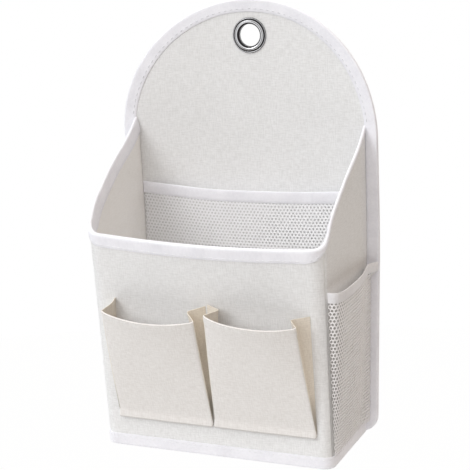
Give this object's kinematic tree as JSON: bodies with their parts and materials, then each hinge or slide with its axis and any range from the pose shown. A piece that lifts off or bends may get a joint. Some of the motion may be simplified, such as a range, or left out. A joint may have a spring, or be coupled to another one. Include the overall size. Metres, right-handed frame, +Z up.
{
  "type": "wall hanging organizer",
  "caption": "Arched fabric wall organizer with an eyelet, an open bag, pleated front pockets and mesh pockets inside and on one side.",
  "frame": {"origin": "centre of the eyelet's bore, on the plane where the back touches the wall", "axes": "+Z up along the back panel, +Y into the wall, +X to the right as seen from the room"},
  "size_m": [0.24, 0.1432, 0.391],
  "materials": {
    "linen": "matt plain weave",
    "pocket_cloth": "matt plain weave",
    "lining": "matt",
    "binding": "matt woven tape",
    "net": "matt knitted mesh",
    "board": "matt",
    "eyelet_metal": "polished nickel"
  },
  "bodies": {
    "bag": {"back_cloth": "linen", "back_board": "board", "back_lining": "linen", "back_binding": "binding", "eyelet": "eyelet_metal", "eyelet_washer": "eyelet_metal", "front_cloth": "linen", "front_board": "board", "front_lining": "lining", "left_side_cloth": "linen", "left_side_board": "board", "left_side_lining": "lining", "right_side_cloth": "linen", "right_side_board": "board", "right_side_lining": "lining", "rim_binding": "binding", "base_cloth": "linen", "base_board": "board", "base_lining": "lining", "base_binding": "binding", "inner_net": "net", "inner_net_hem": "binding", "side_net": "net", "side_net_gusset": "net", "side_net_hem": "binding", "left_pocket_inner_pleat": "pocket_cloth", "left_pocket_outer_pleat": "pocket_cloth", "right_pocket_inner_pleat": "pocket_cloth", "right_pocket_outer_pleat": "pocket_cloth"},
    "left_pocket": {"left_pocket_face": "pocket_cloth"},
    "right_pocket": {"right_pocket_face": "pocket_cloth"}
  },
  "joints": [
    {"name": "left_pocket_close", "type": "hinge", "parent": "bag", "child": "left_pocket", "pos_m": [-0.0462, -0.10802, -0.328], "axis": [-1, 0, 0], "range_deg": [0, 10], "deforming": ["left_pocket_inner_pleat", "left_pocket_outer_pleat"]},
    {"name": "right_pocket_close", "type": "hinge", "parent": "bag", "child": "right_pocket", "pos_m": [0.0462, -0.10802, -0.328], "axis": [-1, 0, 0], "range_deg": [0, 10], "deforming": ["right_pocket_inner_pleat", "right_pocket_outer_pleat"]}
  ]
}
